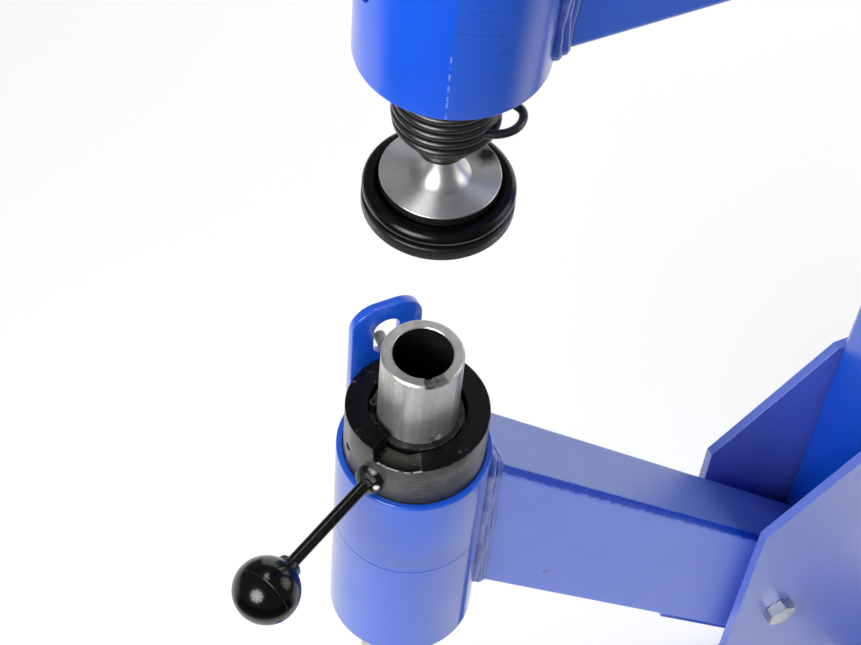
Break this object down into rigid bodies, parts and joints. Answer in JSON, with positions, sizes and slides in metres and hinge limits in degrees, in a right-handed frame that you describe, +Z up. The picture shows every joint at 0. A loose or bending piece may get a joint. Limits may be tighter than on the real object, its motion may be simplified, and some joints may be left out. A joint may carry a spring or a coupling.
{
  "type": "pneumatic forming hammer",
  "caption": "C-frame sheet-metal forming hammer: air hammer with upper die over an anvil tube raised by a lever-turned face cam, on a bolted column and spine stand.",
  "frame": {"origin": "on the bench plane, under the hammer axis, at the underside of the front foot bar", "axes": "+Z up along the hammer axis, +X along the arms to the column, +Y to the side with the slotted guide tab"},
  "size_m": [0.5828, 0.32, 1.0203],
  "materials": {
    "blue_paint": "gloss powder coat",
    "black_steel": "black oxide, satin",
    "bright_steel": "turned and polished",
    "zinc_steel": "zinc plated",
    "rubber": "smooth moulded",
    "black_plastic": "glossy moulded"
  },
  "bodies": {
    "frame": {"front_foot_bar": "blue_paint", "rear_foot_bar": "blue_paint", "spine_beam": "blue_paint", "spine_cap_front": "black_plastic", "spine_cap_rear": "black_plastic", "column_flange": "blue_paint", "flange_bolt_1": "zinc_steel", "flange_bolt_2": "zinc_steel", "flange_bolt_3": "zinc_steel", "flange_bolt_4": "zinc_steel", "flange_nut_1": "zinc_steel", "flange_nut_2": "zinc_steel", "flange_nut_3": "zinc_steel", "flange_nut_4": "zinc_steel", "column": "blue_paint", "column_cap": "blue_paint", "side_plate_left": "blue_paint", "side_plate_right": "blue_paint", "side_bolt_1": "zinc_steel", "side_bolt_2": "zinc_steel", "side_bolt_3": "zinc_steel", "side_nut_1": "zinc_steel", "side_nut_2": "zinc_steel", "side_nut_3": "zinc_steel", "arm_spacer_left": "zinc_steel", "arm_spacer_right": "zinc_steel", "lower_arm": "blue_paint", "upper_arm": "blue_paint", "lower_sleeve": "blue_paint", "upper_sleeve": "blue_paint", "set_screw_1": "black_steel", "set_screw_2": "black_steel", "guide_tab": "blue_paint", "guide_bush": "black_steel", "hammer_barrel": "black_steel", "backhead": "black_steel", "inlet_nipple": "zinc_steel", "retaining_spring": "black_steel"},
    "cam": {"cam_ring": "black_steel", "lever_rod": "black_steel", "ball_knob": "black_plastic"},
    "anvil": {"anvil_tube": "bright_steel", "follower_pin": "zinc_steel", "circlip": "black_steel"},
    "die": {"upper_die": "bright_steel", "die_bumper": "rubber", "die_face": "black_steel"},
    "piston": {"piston": "bright_steel"},
    "regulator": {"regulator_knob": "black_plastic"}
  },
  "joints": [
    {"name": "cam_turn", "type": "hinge", "parent": "frame", "child": "cam", "pos_m": [0, 0, 0.55], "axis": [0, 0, 1], "range_deg": [-85, 25]},
    {"name": "anvil_lift", "type": "slide", "parent": "frame", "child": "anvil", "axis": [0, 0, 1], "range_m": [-0.0016, 0.0054]},
    {"name": "die_slide", "type": "slide", "parent": "frame", "child": "die", "axis": [0, 0, 1], "range_m": [0, 0.006]},
    {"name": "piston_slide", "type": "slide", "parent": "frame", "child": "piston", "axis": [0, 0, 1], "range_m": [0, 0.04]},
    {"name": "regulator_turn", "type": "hinge", "parent": "frame", "child": "regulator", "pos_m": [-0.027, 0, 0.967], "axis": [-1, 0, 0], "range_deg": [0, 270]}
  ],
  "couplings": [
    {"joint": "anvil_lift", "follows": "cam_turn", "m_per_rad": -0.003581}
  ]
}
